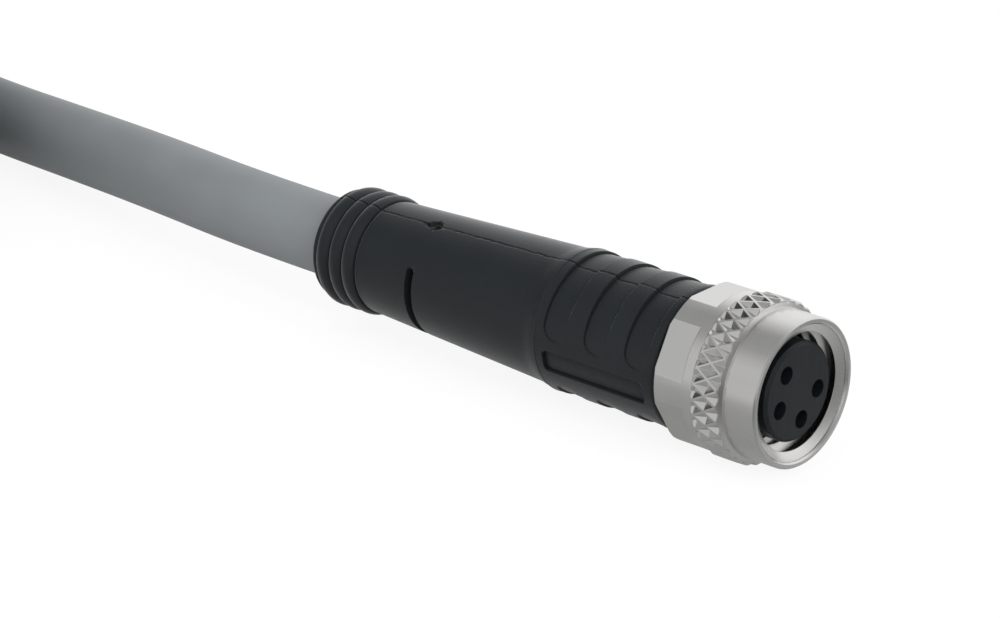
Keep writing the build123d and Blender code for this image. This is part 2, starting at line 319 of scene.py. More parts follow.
def body_radius(station):
    """Radius of the grip's skin before anything is pressed into it."""
    if station < body_front + front_round:
        share = 1 - (station - body_front) / front_round
        return grip_radius - front_round + front_round * math.sqrt(max(0.0, 1 - share * share))
    if station < grip_rear:
        # the last of the grip's outline is a hair proud, where two parts of the mould meet
        return grip_radius + mould_step * ease((station - grip_rear + 0.12) / 0.08)
    if station < ramp_end:
        share = (station - grip_rear) / (ramp_end - grip_rear)
        return grip_radius + (waist_radius - grip_radius) * ease(share * 0.8 + 0.1)
    if station < bead_front:
        share = (station - ramp_end) / (bead_front - ramp_end)
        from_crease = (station - bead_front + first_crease_length) / first_crease_length
        groove = first_crease_depth * ease(from_crease)
        return waist_radius + (tail_radius - waist_radius) * share - groove
    if station < lip_front:
        place = (station - bead_front) / bead_pitch % 1.0
        return crease_radius + bead_rise * math.sin(math.pi * place) ** bead_fullness
    # the lip is a low swell whose last half rounds off towards the cable
    share = (station - lip_front) / (body_rear - lip_front)
    edge = max(0.0, share - 0.55) / 0.45
    return crease_radius - 0.08 + 0.06 * math.sin(math.pi * share) - 0.18 * edge * edge


sample_radii = [round(body_radius(station), 2) for station in (8, 20, 32)]
print("radius at the front, the waist and the tail:", sample_radii)

# %% [markdown]
# The rows of points lie close together where the skin turns sharply and far apart where it
# is plain. A list of fine places, each with its reach and spacing, sets this.

# %% Rows along the grip
pocket_steps = (9.83, 12.93, 16.03)
pocket_length = 1.75
label_front, label_rear = 8.35, 16.05
slot_station = 27.43
slot_half_width = 0.28
gate_station = 27.53

fine_rows = [(body_front + 0.1, 0.3, 0.06), (grip_rear - 0.02, 0.17, 0.035)]
for step in pocket_steps:
    fine_rows += [(step, 0.13, 0.027), (step - pocket_length, 0.13, 0.03)]
fine_rows += [(label_front, 0.1, 0.03), (label_rear, 0.1, 0.03)]
for side in (-1, 1):
    fine_rows.append((slot_station + side * slot_half_width, 0.08, 0.027))
fine_rows += [(gate_station, 0.65, 0.06)]
for number in range(bead_count + 1):
    fine_rows.append((bead_front + number * bead_pitch, 0.17, 0.03))
plain_rows = ((ramp_end, 0.13), (bead_front - 0.2, 0.45), (body_rear, 0.08))


def walk(start, end, plain, fine):
    """Values from start to end, a plain step apart, or closer round the fine places."""
    values = [start]
    while values[-1] < end - 0.01:
        here = values[-1]
        spacing = plain(here)
        for place, reach, step in fine:
            if abs(here - place) < reach:
                spacing = min(spacing, step)
        for place, reach, step in fine:
            past_nose_painted_shade = place - reach - here
            if 0 < past_nose_painted_shade < spacing:
                spacing = past_nose_painted_shade + 0.001
        values.append(here + spacing)
    values[-1] = end
    return values


def plain_row(station):
    """Spacing of the rows where the skin is plain."""
    return next(step for end, step in plain_rows if station < end)


rows = walk(body_front, body_rear, plain_row, fine_rows)
print("rows:", len(rows))

# %% [markdown]
# The columns are drawn together in the same way near the ends of the pockets, the edges of
# the label recess, the end of the slot and the gate mark. Angles are counted from the line
# where the two halves of the mould meet, which lies a little to the camera's side of the top.

# %% Columns round the grip
body_turn = 17.5
pocket_half_angle = 68.0
label_angle = 87.0
label_half_height = 0.71
label_half_angle = math.degrees(label_half_height / grip_radius)
slot_start_angle = 49.0

fine_columns = [(0.0, 6.5, 0.75)]
for side in (-1, 1):
    fine_columns += [
        (side * (slot_start_angle + 2.0), 3.0, 0.75),
        (side * (pocket_half_angle - 5.5), 7.5, 0.75),
        (side * (180 - pocket_half_angle + 5.5), 7.5, 0.75),
    ]
for side in (-1, 1):
    fine_columns.append((label_angle + side * label_half_angle, 1.4, 0.3))
plain_column = 1.7
columns = walk(-180.0, 180.0, lambda angle: plain_column, fine_columns)[:-1]
around = len(columns)
print("columns:", around)

# %% [markdown]
# The outline goes back along the bore, which the inner moulding and the cable fill, so
# the skin is a closed shell. A spin makes its columns evenly spaced, and they are moved
# to their own angles when the shapes are pressed in.

# %% Spin the profile
hidden_bore = (
    (body_rear, 2.5),
    (22.0, 2.5),
    (22.0, 3.2),
    (10.6, 3.2),
    (9.0, 3.5),
    (body_front, 3.0),
)

grip_profile = [(station, body_radius(station)) for station in rows] + list(hidden_bore)
grip = spin_ring("grip", grip_profile, around)
grip_mesh = grip.data
print("grip skin:", triangles(grip), "triangles")

# %% [markdown]
# Each pressed-in shape is a function of station and angle that says how deep the skin goes
# in there. A shape's wall is a narrow smooth step, so its edges come out rounded.

# %% What is pressed into the skin
pocket_rear_depth = 0.27
pocket_front_depth = 0.2
pocket_half_width = math.radians(pocket_half_angle) * grip_radius
pocket_corner = 0.95
pocket_front_corner = 0.6
flank_fade = 0.72
flank_fade_curve = 1.3
wall = 0.075
pocket_front_wall = 1.6 * wall
label_depth = 0.24
label_corner = 0.3
slot_floor = 2.7
slot_radius = 3.77
slot_wall = 0.05
gate_depth = 0.17
gate_half_length = 0.58
gate_half_width = 0.4
nub_half_length = 0.2
nub_half_width = 0.14
nub_height = 0.12


def inside_corner(first, second, corner):
    """Distance inside two walls that meet in a round corner; negative is outside."""
    if first < corner and second < corner:
        return corner - math.hypot(corner - first, corner - second)
    return min(first, second)


def near(value, middle, reach):
    """1 at the middle, 0 from the reach outwards."""
    return ease(1.3 - abs(value - middle) / reach)


def pocket_press(station, along):
    """Depth of a pocket and the painted shade at the foot of its rear step; along is the way round
    from its middle, in mm.
    """
    deepest = 0.0
    painted_foot_shade = 0.0
    across = pocket_half_width - abs(along)
    for step in pocket_steps:
        from_rear = step - station
        from_front = station - step + pocket_length
        if min(from_rear, from_front, across) < -wall:
            continue
        rear_inside = inside_corner(from_rear, across, pocket_corner)
        front_inside = inside_corner(from_front, across, pocket_front_corner)
        share = min(max(from_rear / pocket_length, 0.0), 1.0)
        # a finger reaches deepest at the top and leaves no front step on the flanks
        aside = abs(along) / pocket_half_width
        rear_floor = pocket_rear_depth * (1 - flank_fade * aside ** flank_fade_curve)
        front_floor = pocket_front_depth * (1 - ease(aside * 1.15 - 0.1))
        floor = rear_floor + (front_floor - rear_floor) * share
        rise = ease(rear_inside / wall + 0.5) * ease(front_inside / pocket_front_wall + 0.5)
        deepest = max(deepest, floor * rise)
        # painted shade along the foot of the rear step, where shade falls
        painted_foot_shade = max(painted_foot_shade, 0.85 * near(rear_inside, 0.03, 0.045) * ease(from_front * 0.8))
    return deepest, painted_foot_shade


def label_press(station, along):
    """Depth of the label recess, which stays bare, and the painted shade along its edges."""
    across = label_half_height - abs(along)
    front_inside = inside_corner(station - label_front, across, label_corner)
    rear_inside = inside_corner(label_rear - station, across, label_corner)
    depth = min(front_inside, rear_inside)
    # painted shade: the lower edge gets a darker line than the upper one
    painted_shade = near(depth, 0.03, 0.05) * (0.9 if along > 0 else 0.4)
    # and a line of painted shade along the rear end
    if depth > -0.02:
        painted_shade = max(painted_shade, near(label_rear - station, 0.08, 0.17))
    return label_depth * ease(depth / wall + 0.5), painted_shade


def gate_press(station, along):
    """The torn-off gate leaves a shallow pit with a small nub in it."""
    turn = math.atan2(along, station - gate_station)
    ragged = 1 + 0.1 * math.sin(3 * turn + 0.6) + 0.07 * math.sin(7 * turn)
    distance = math.hypot(
        (station - gate_station) / gate_half_length, along / gate_half_width
    ) / ragged
    nub = math.hypot(
        (station - gate_station + 0.12) / nub_half_length, (along + 0.06) / nub_half_width
    )
    return gate_depth * ease((1.1 - distance) / 0.3) - nub_height * ease((1.1 - nub) / 0.5)


def slot_mask(station, from_part_line):
    """1 in the relief slot, which goes round the underside and ends on both flanks."""
    across = slot_half_width - abs(station - slot_station)
    along = math.radians(from_part_line - slot_start_angle) * slot_radius
    depth = inside_corner(across, along, slot_half_width * 0.95)
    return ease(depth / slot_wall + 0.5)


print("pockets at stations", pocket_steps)

# %% [markdown]
# Each point of the skin moves to its column's angle and inwards by what is pressed in at
# its place. It also notes how much painted shade it gets, in an attribute that the finish
# reads: painted shade darkens the feet of the pocket steps, the edges of the label recess,
# the creases between the beads and the whole relief slot, where shade falls.

# %% Press the shapes in
# strengths of the painted shade: weaker at the pocket feet on the underside, strong in the bead
# creases
underside_shade_share = 0.15
crease_painted_shade = 0.7
crease_painted_shade_reach = 0.08
painted_shade_values = [0.0] * len(grip_mesh.vertices)
for vertex in grip_mesh.vertices:
    station = (nose_x - vertex.co.x) / mm
    y, z = vertex.co.y, vertex.co.z - axis_z
    radius = math.hypot(y, z) / mm
    spun = math.degrees(math.atan2(-y, z)) % 360
    round_angle = columns[round(spun / 360 * around) % around]
    pressed = painted_shade = in_slot = 0.0
    if radius > body_radius(station) - 0.01 and station < body_rear - 0.01:
        from_part_line = min(abs(round_angle), 180 - abs(round_angle))
        pressed, painted_shade = pocket_press(station, math.radians(from_part_line) * grip_radius)
        # the painted shade at the pocket feet is weaker on the underside
        if abs(round_angle) > 90:
            painted_shade *= underside_shade_share
        if round_angle > 0:
            along = math.radians(round_angle - label_angle) * grip_radius
            label_depth_here, label_painted_shade = label_press(station, along)
            pressed = max(pressed, label_depth_here)
            painted_shade = max(painted_shade, label_painted_shade)
        pressed += gate_press(station, math.radians(round_angle) * slot_radius)
        in_slot = slot_mask(station, abs(round_angle))
        # painted shade darkens the creases between the beads
        for number in range(bead_count + 1):
            crease = near(station, bead_front + number * bead_pitch, crease_painted_shade_reach)
            painted_shade = max(painted_shade, crease_painted_shade * crease)
    new_radius = radius - pressed
    new_radius += (slot_floor - new_radius) * in_slot
    vertex.co = at(station, new_radius, round_angle + body_turn)
    # the whole relief slot is painted dark as shade
    painted_shade_values[vertex.index] = max(painted_shade, in_slot)
painted_shade_attribute = grip_mesh.attributes.new("painted_shade", "FLOAT", "POINT")
painted_shade_attribute.data.foreach_set("value", painted_shade_values)
grip_mesh.update()
smooth_by_angle(grip, 60)
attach(grip, "connector")
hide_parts("grip_body")
print("grip pressed")

# %% [markdown]
# ## The mouth and the thread of the coupling nut
#
# The nut screws onto a mating plug with a fine right-hand thread. The rim of its mouth is a
# narrow flat ring with a chamfer inside it, and the first turn of the thread stands right
# behind that as a second ring. Both could be cut into the nut with a boolean, but the
# packed nut stays as it is, so they are one profile, spun round the axis, that lies over
# the nut's edge.

# %% Mouth ring
mouth_profile = (
    (-0.003, 4.405),
    (-0.003, 4.2),
    (0.015, 4.18),
    (0.13, 4.09),
    (0.16, 4.1),
    (0.2, 4.1),
    (0.23, 4.02),
    (0.44, 3.6),
    (0.465, 3.56),
    (0.55, 3.56),
    (0.82, 4.02),
    (0.5, 4.25),
    (0.02, 4.43),
)
mouth_columns = 192
mouth = spin_ring("nut_mouth", mouth_profile, mouth_columns)
smooth_by_angle(mouth, 20)
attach(mouth, "coupling_nut")
print("mouth ring:", triangles(mouth), "triangles")

# %% [markdown]
# The rest of the thread could be swept along a helix curve, which leans its profile over.
# A Screw modifier carries a small trapezoid round the axis and keeps it upright and even,
# as a lathe's tool cuts it. The two ends are closed.

# %% Thread
thread_major = 4.02
thread_crest = 3.5
thread_pitch = 1.0
thread_front = 0.88
thread_turns = 4
thread_columns = 96
ridge = (
    (thread_front + 0.03, thread_major),
    (thread_front + 0.36, thread_crest),
    (thread_front + 0.54, thread_crest),
    (thread_front + 0.87, thread_major),
)
thread_mesh = bpy.data.meshes.new("nut_thread")
corners = [at(station, radius, 0) - Vector((0, 0, axis_z)) for station, radius in ridge]
ridge_edges = [(0, 1), (1, 2), (2, 3), (3, 0)]
thread_mesh.from_pydata([tuple(point) for point in corners], ridge_edges, [])
thread = bpy.data.objects.new("nut_thread", thread_mesh)
bpy.context.collection.objects.link(thread)
thread.location.z = axis_z
screw = thread.modifiers.new("thread", "SCREW")
screw.axis = "X"
# turning backwards while it goes backwards makes a right-hand thread
screw.angle = -2 * math.pi
screw.screw_offset = -thread_pitch * mm
screw.iterations = thread_turns
screw.steps = thread_columns
screw.render_steps = thread_columns
screw.use_normal_calculate = True
apply_modifiers(thread)
finish_place(thread)
only(thread)
bpy.ops.object.mode_set(mode="EDIT")
bpy.ops.mesh.select_all(action="SELECT")
bpy.ops.mesh.fill_holes(sides=4)
bpy.ops.mesh.select_all(action="SELECT")
bpy.ops.mesh.normals_make_consistent(inside=False)
bpy.ops.object.mode_set(mode="OBJECT")
smooth_by_angle(thread, 30)
thread_stations = [(nose_x - vertex.co.x) / mm for vertex in thread_mesh.vertices]
print(f"thread from station {min(thread_stations):.2f} to {max(thread_stations):.2f}")
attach(thread, "coupling_nut")
print("thread:", triangles(thread), "triangles")

# %% [markdown]
# ## Finishes
#
# Each finish is a Principled shader with small changes of colour, roughness and surface
# from noise. They could be painted pictures, but noise needs no file and stays sharp from
# near. Patterns that several finishes share are node groups, which give out only heights
# and masks.

# %% Node helpers
def add_node(tree, kind, settings=None, **inputs):
    """Add a node. Settings are its own options; inputs are numbers, colours or sockets."""
    node = tree.nodes.new(kind)
    for name, value in (settings or {}).items():
        setattr(node, name, value)
    for label, value in inputs.items():
        socket = node.inputs[label.replace("_", " ")]
        if isinstance(value, bpy.types.NodeSocket):
            tree.links.new(value, socket)
        else:
            socket.default_value = value
    return node


def math_node(tree, operation, first, second=0.0, clamp=False):
    """Result of one sum on two numbers or sockets."""
    node = add_node(tree, "ShaderNodeMath", {"operation": operation, "use_clamp": clamp})
    for number, value in enumerate((first, second)):
        if isinstance(value, bpy.types.NodeSocket):
            tree.links.new(value, node.inputs[number])
        else:
            node.inputs[number].default_value = value
    return node.outputs["Value"]


def spread(tree, value, low_in, high_in, low_out, high_out):
    """Number that goes from low_out to high_out as the value goes from low_in to high_in."""
    node = add_node(
        tree, "ShaderNodeMapRange", Value=value,
        From_Min=low_in, From_Max=high_in, To_Min=low_out, To_Max=high_out,
    )
    return node.outputs["Result"]


def ramp(tree, value, stops):
    """Colour from a list of positions and colours."""
    node = add_node(tree, "ShaderNodeValToRGB", Fac=value)
    elements = node.color_ramp.elements
    for number, (position, color) in enumerate(stops):
        element = elements[number] if number < 2 else elements.new(position)
        element.position = position
        element.color = (*color, 1)
    return node.outputs["Color"]


def grey_ramp(tree, value, stops):
    """Grey from a list of positions and brightnesses."""
    return ramp(tree, value, [(position, (grey, grey, grey)) for position, grey in stops])


def blend_colors(tree, factor, first, second):
    """The first colour at factor 0, the second at 1."""
    node = add_node(tree, "ShaderNodeMix", {"data_type": "RGBA"})
    for number, value in ((0, factor), (6, first), (7, second)):
        if isinstance(value, bpy.types.NodeSocket):
            tree.links.new(value, node.inputs[number])
        else:
            node.inputs[number].default_value = (*value, 1)
    return node.outputs[2]


def new_material(name, color, roughness, metallic=0.0):
    """A material with a Principled shader; returns it with its node tree and shader."""
    material = bpy.data.materials.new(name)
    material.use_nodes = True
    tree = material.node_tree
    shader = tree.nodes["Principled BSDF"]
    shader.inputs["Base Color"].default_value = (*color, 1)
    shader.inputs["Roughness"].default_value = roughness
    shader.inputs["Metallic"].default_value = metallic
    return material, tree, shader


def new_group(name, inputs, outputs):
    """Group of nodes with float sockets; returns the group and its two end nodes."""
    group = bpy.data.node_groups.new(name, "ShaderNodeTree")
    for label, value in inputs:
        socket = group.interface.new_socket(label, in_out="INPUT", socket_type="NodeSocketFloat")
        socket.default_value = value
    for label in outputs:
        group.interface.new_socket(label, in_out="OUTPUT", socket_type="NodeSocketFloat")
    return group, group.nodes.new("NodeGroupInput"), group.nodes.new("NodeGroupOutput")


def add_group(tree, group, **values):
    """Place a shared group in a tree, with its own values."""
    node = add_node(tree, "ShaderNodeGroup", {"node_tree": group})
    for label, value in values.items():
        node.inputs[label.replace("_", " ")].default_value = value
    return node


def add_bump(tree, shader, height, distance, strength=0.5):
    """Roughen the shader's surface by a height; the distance is in millimetres."""
    bump = add_node(
        tree, "ShaderNodeBump", Strength=strength, Distance=distance * mm, Height=height
    )
    tree.links.new(bump.outputs["Normal"], shader.inputs["Normal"])
    return bump


def wear(piece, material):
    """Give a piece its one material."""
    piece.data.materials.clear()
    piece.data.materials.append(material)


print("node helpers made")

# %% [markdown]
# Grain is the fine even texture that a spark-eroded mould leaves on plastic. It gives a
# height for a Bump node and a slow change that breaks up colour and gloss.

# %% Grain
grain, grain_in, grain_out = new_group(
    "grain", [("Size", 0.15), ("Patch Size", 4.0)], ["Height", "Patches"]
)
place = add_node(grain, "ShaderNodeTexCoord").outputs["Object"]
for label, size_label, detail in (("Height", "Size", 2.0), ("Patches", "Patch Size", 3.0)):
    scale = math_node(grain, "DIVIDE", 1 / mm, grain_in.outputs[size_label])
    noise = add_node(grain, "ShaderNodeTexNoise", Vector=place, Scale=scale, Detail=detail)
    grain.links.new(noise.outputs["Fac"], grain_out.inputs[label])
print("grain group made")

# %% [markdown]
# Turned metal has fine rings from the lathe. The rings follow the place along the axis on
# a cylinder and the distance from the axis on an end face, so one noise that reads both
# numbers draws them on all of the nut.

# %% Rings
rings, rings_in, rings_out = new_group("rings", [("Size", 0.08)], ["Height", "Radius"])
place = add_node(rings, "ShaderNodeTexCoord").outputs["Object"]
parts = add_node(rings, "ShaderNodeSeparateXYZ", Vector=place)
height = math_node(rings, "SUBTRACT", parts.outputs["Z"], axis_z)
across = math_node(rings, "MULTIPLY", parts.outputs["Y"], parts.outputs["Y"])
height = math_node(rings, "MULTIPLY", height, height)
radius = math_node(rings, "SQRT", math_node(rings, "ADD", across, height))
line = add_node(rings, "ShaderNodeCombineXYZ", X=parts.outputs["X"], Y=radius)
scale = math_node(rings, "DIVIDE", 1 / mm, rings_in.outputs["Size"])
noise = add_node(
    rings, "ShaderNodeTexNoise", Vector=line.outputs["Vector"], Scale=scale, Detail=2.0
)
rings.links.new(noise.outputs["Fac"], rings_out.inputs["Height"])
rings.links.new(radius, rings_out.inputs["Radius"])
print("rings group made")

# %% [markdown]
# The two halves of the mould leave a fine uneven line along the top and the underside of
# the grip. It is too thin to model, so it is a mask: a point's distance from the plane in
# which the halves meet, with a little wobble, made into a thin line.

# %% Mould line
mould_line, line_in, line_out = new_group("mould_line", [("Width", 0.08)], ["Mask"])
place = add_node(mould_line, "ShaderNodeTexCoord").outputs["Object"]
turn = math.radians(body_turn)
aside = add_node(mould_line, "ShaderNodeVectorMath", {"operation": "DOT_PRODUCT"})
mould_line.links.new(place, aside.inputs[0])
aside.inputs[1].default_value = (0, math.cos(turn), math.sin(turn))
aside = math_node(mould_line, "SUBTRACT", aside.outputs["Value"], axis_z * math.sin(turn))
wobble = add_node(
    mould_line, "ShaderNodeTexNoise", Vector=place, Scale=1 / (0.5 * mm), Detail=2.0
)
wobble = spread(mould_line, wobble.outputs["Fac"], 0.3, 0.7, -0.04 * mm, 0.04 * mm)
aside = math_node(mould_line, "ABSOLUTE", math_node(mould_line, "ADD", aside, wobble))
width = math_node(mould_line, "MULTIPLY", line_in.outputs["Width"], mm)
mask = math_node(mould_line, "DIVIDE", aside, width)
mask = math_node(mould_line, "SUBTRACT", 1.4, mask, clamp=True)
broken = add_node(
    mould_line, "ShaderNodeTexNoise", Vector=place, Scale=1 / (1.1 * mm), Detail=1.0
)
broken = spread(mould_line, broken.outputs["Fac"], 0.35, 0.55, 0.45, 1.0)
mask = math_node(mould_line, "MULTIPLY", mask, broken)
mould_line.links.new(mask, line_out.inputs["Mask"])
print("mould line group made")

# %% [markdown]
# All plastics share one recipe: a base colour with slow patches, a roughness that drifts
# with them, and the grain as a bump.

# %% Plastics
def drift(tree, pattern, roughness):
    """Roughness that goes a little up and down with the patches of the grain."""
    patches = pattern.outputs["Patches"]
    return spread(tree, patches, 0.3, 0.7, roughness - 0.03, roughness + 0.03)


def plastic(name, color, roughness, size, depth, contrast=0.1):
    """Moulded plastic; returns the material, its tree, shader, grain node and colour."""
    material, tree, shader = new_material(name, color, roughness)
    pattern = add_group(tree, grain, Size=size)
    low = [channel * (1 - contrast) for channel in color]
    high = [channel * (1 + contrast) for channel in color]
    tint = ramp(tree, pattern.outputs["Patches"], [(0.35, low), (0.65, high)])
    tree.links.new(tint, shader.inputs["Base Color"])
    dull = drift(tree, pattern, roughness)
    tree.links.new(dull, shader.inputs["Roughness"])
    add_bump(tree, shader, pattern.outputs["Height"], depth)
    return material, tree, shader, pattern, tint


cable_jacket = plastic("cable_jacket", (0.168, 0.181, 0.186), 0.5, 0.25, 0.003, 0.03)[0]
inner_plastic = plastic("inner_plastic", (0.05, 0.05, 0.055), 0.5, 0.2, 0.004)[0]
seal_rubber = plastic("seal_rubber", (0.012, 0.012, 0.013), 0.6, 0.12, 0.006)[0]
tie_band = plastic("tie_band", (0.012, 0.012, 0.013), 0.42, 0.3, 0.005)[0]
wear(cable, cable_jacket)
wear(nodes["moulded_in_cable"], cable_jacket)
wear(nodes["inner_moulding"], inner_plastic)
wear(nodes["seal_ring"], seal_rubber)
wear(nodes["coil_tie"], tie_band)

core_colors = {
    "brown": (0.13, 0.06, 0.03),
    "white": (0.75, 0.75, 0.73),
    "blue": (0.03, 0.1, 0.35),
    "black": (0.012, 0.012, 0.013),
}
for name, color in core_colors.items():
    core_finish = plastic(f"core_{name}", color, 0.35, 0.2, 0.002, 0.06)[0]
    wear(nodes[f"core_{name}"], core_finish)
    wear(nodes[f"end_core_{name}"], core_finish)
print("plastics:", len(bpy.data.materials))

# %% [markdown]
# The grip's black has a cold tint. The mould line is darker, duller and a little sunk, and
# so is the torn skin of the gate mark. The painted shade noted on the skin, at the feet of
# steps, in creases and in the slot, takes the same dark colour and dullness.

# %% Grip finish
grip_color = (0.0062, 0.0084, 0.0102)
# dark colour of the mould line and gate mark, and of the painted shade in hollows
mark_and_shade_color = (0.0008, 0.001, 0.0014)
grip_roughness = 0.45
grain_depth = 0.02
grip_plastic, tree, shader, pattern, tint = plastic(
    "grip_plastic", grip_color, grip_roughness, 0.13, grain_depth
)
shader.inputs["Specular IOR Level"].default_value = 0.34
shader.inputs["Sheen Weight"].default_value = 0.3
shader.inputs["Sheen Roughness"].default_value = 0.35
line = add_group(tree, mould_line).outputs["Mask"]
# painted shade at the feet of steps, along the label recess, in creases and in the slot, read from
# the skin
painted_shade_in_hollows = add_node(tree, "ShaderNodeAttribute", {"attribute_name": "painted_shade"}).outputs["Fac"]
place = add_node(tree, "ShaderNodeTexCoord").outputs["Object"]
from_gate = add_node(tree, "ShaderNodeVectorMath", {"operation": "DISTANCE"})
tree.links.new(place, from_gate.inputs[0])
from_gate.inputs[1].default_value = at(gate_station, slot_radius - gate_depth, body_turn)
torn = spread(tree, from_gate.outputs["Value"], 0.35 * mm, 0.55 * mm, 0.8, 0.0)
# the dark colour covers the mould line, the gate mark and the painted shade
marks_and_painted_shade = math_node(tree, "MAXIMUM", line, torn)
marks_and_painted_shade = math_node(tree, "MAXIMUM", marks_and_painted_shade, painted_shade_in_hollows)
tint = blend_colors(tree, marks_and_painted_shade, tint, mark_and_shade_color)
tree.links.new(tint, shader.inputs["Base Color"])
dull = drift(tree, pattern, grip_roughness)
dull = math_node(tree, "ADD", dull, math_node(tree, "MULTIPLY", marks_and_painted_shade, 0.4))
tree.links.new(dull, shader.inputs["Roughness"])
sunk = math_node(tree, "MULTIPLY", line, -3.0)
rough = add_node(tree, "ShaderNodeTexNoise", Vector=place, Scale=1 / (0.12 * mm), Detail=3.0)
rough = math_node(tree, "MULTIPLY", math_node(tree, "MULTIPLY", rough.outputs["Fac"], torn), 4.0)
height = math_node(tree, "ADD", pattern.outputs["Height"], math_node(tree, "ADD", sunk, rough))
add_bump(tree, shader, height, grain_depth)
wear(grip, grip_plastic)
print("grip finish made")

# %% [markdown]
# The insert round the contacts is turned from rod or moulded against a milled face, and
# shows fine upright lines when one looks into the nut.

# %% Insert finish
insert_plastic, tree, shader, pattern, tint = plastic(
    "insert_plastic", (0.0045, 0.0065, 0.008), 0.42, 0.1, 0.004
)
shader.inputs["Specular IOR Level"].default_value = 0.35
place = add_node(tree, "ShaderNodeTexCoord").outputs["Object"]
upright = add_node(tree, "ShaderNodeVectorMath", {"operation": "MULTIPLY"})
tree.links.new(place, upright.inputs[0])
upright.inputs[1].default_value = (0.15, 1.0, 0.03)
lines = add_node(
    tree, "ShaderNodeTexNoise", Vector=upright.outputs["Vector"], Scale=1 / (0.16 * mm), Detail=2.0
)
fine_lines = spread(tree, lines.outputs["Fac"], 0.35, 0.65, 0.0, 0.5)
tint = blend_colors(tree, fine_lines, tint, (0.01, 0.012, 0.014))
tree.links.new(tint, shader.inputs["Base Color"])
add_bump(tree, shader, lines.outputs["Fac"], 0.006)
wear(nodes["contact_carrier"], insert_plastic)
print("insert finish made")

# %% [markdown]
# Bare metals are fully metallic. The nut is turned brass with a nickel skin: a near white
# grey with fine rings, except on its six milled flats, which are a little duller. A Bevel
# node softens the light on its sharp edges, as the plating does.

# %% Metals
def metal(name, color, roughness, size, depth):
    """Bare metal; returns the material, its tree, shader, grain node, bump and roughness."""
    material, tree, shader = new_material(name, color, roughness, 1.0)
    pattern = add_group(tree, grain, Size=size, Patch_Size=3.0)
    dull = drift(tree, pattern, roughness)
    tree.links.new(dull, shader.inputs["Roughness"])
    bump = add_bump(tree, shader, pattern.outputs["Height"], depth, 0.3)
    return material, tree, shader, pattern, bump, dull


flats_front = 5.05
flats_inner_radius = 4.3
flats_outer_radius = 4.785
edge_round = 0.05
nut_metal, tree, shader, pattern, bump, dull = metal(
    "nut_metal", (0.74, 0.735, 0.72), 0.27, 0.1, 0.0013
)
turned = add_group(tree, rings)
place = add_node(tree, "ShaderNodeTexCoord").outputs["Object"]
along = add_node(tree, "ShaderNodeSeparateXYZ", Vector=place).outputs["X"]
on_flats = math_node(tree, "LESS_THAN", along, on_axis(flats_front))
below = math_node(tree, "LESS_THAN", turned.outputs["Radius"], flats_outer_radius * mm)
above = math_node(tree, "GREATER_THAN", turned.outputs["Radius"], flats_inner_radius * mm)
on_flats = math_node(tree, "MULTIPLY", on_flats, math_node(tree, "MULTIPLY", below, above))
dull = math_node(tree, "ADD", dull, math_node(tree, "MULTIPLY", on_flats, 0.06))
tree.links.new(dull, shader.inputs["Roughness"])
off_flats = math_node(tree, "SUBTRACT", 1.0, on_flats)
ring_height = math_node(tree, "MULTIPLY", turned.outputs["Height"], off_flats)
height = math_node(tree, "ADD", pattern.outputs["Height"], ring_height)
tree.links.new(height, bump.inputs["Height"])
soft_edges = add_node(tree, "ShaderNodeBevel", {"samples": 6}, Radius=edge_round * mm)
tree.links.new(soft_edges.outputs["Normal"], bump.inputs["Normal"])
nickel_tints = [(0.3, (0.72, 0.712, 0.695)), (0.7, (0.76, 0.757, 0.745))]
tint = ramp(tree, pattern.outputs["Patches"], nickel_tints)
tree.links.new(tint, shader.inputs["Base Color"])

contact_metal = metal("contact_metal", (0.85, 0.62, 0.28), 0.3, 0.1, 0.002)[0]
conductor_tin = metal("conductor_tin", (0.68, 0.66, 0.62), 0.4, 0.08, 0.01)[0]
wear(nodes["coupling_nut"], nut_metal)
wear(thread, nut_metal)
wear(mouth, nut_metal)
for number in range(4):
    wear(nodes[f"contact_{number + 1}"], contact_metal)
for name in end_names:
    wear(nodes[f"end_tip_{name}"], conductor_tin)
print("finishes:", len(bpy.data.materials))

# %% [markdown]
# ## Floor, background and light
#
# The object lies on a white table. To the camera most of the table's white is its own, so
# that it looks clean, and the rest is lit by the lamps, so that it still takes a soft
# shadow. In reflections the table glows with a painted grey instead: a painted shade that
# is darkest just in front of and under the object, where its contact shade falls, darker
# again past the nose of the nut, and white behind it.

# %% Floor
own_white = 0.9
bpy.ops.mesh.primitive_plane_add(size=6.0, location=(0, 0, -0.02 * mm))
floor = bpy.context.object
floor.name = "floor"
floor_material, tree, floor_shader = new_material("floor_white", (0.85, 0.85, 0.85), 0.9)
floor_shader.inputs["Specular IOR Level"].default_value = 0.0
rays = add_node(tree, "ShaderNodeLightPath").outputs
place = add_node(tree, "ShaderNodeTexCoord").outputs["Object"]
ways = add_node(tree, "ShaderNodeSeparateXYZ", Vector=place).outputs
back = spread(tree, ways["Y"], -0.06, 0.03, 0.0, 1.0)
# past the nose of the nut the floor is painted darker in reflections
past_nose_painted_shade = spread(tree, ways["X"], nose_x, nose_x + 0.01, 1.0, 0.3)
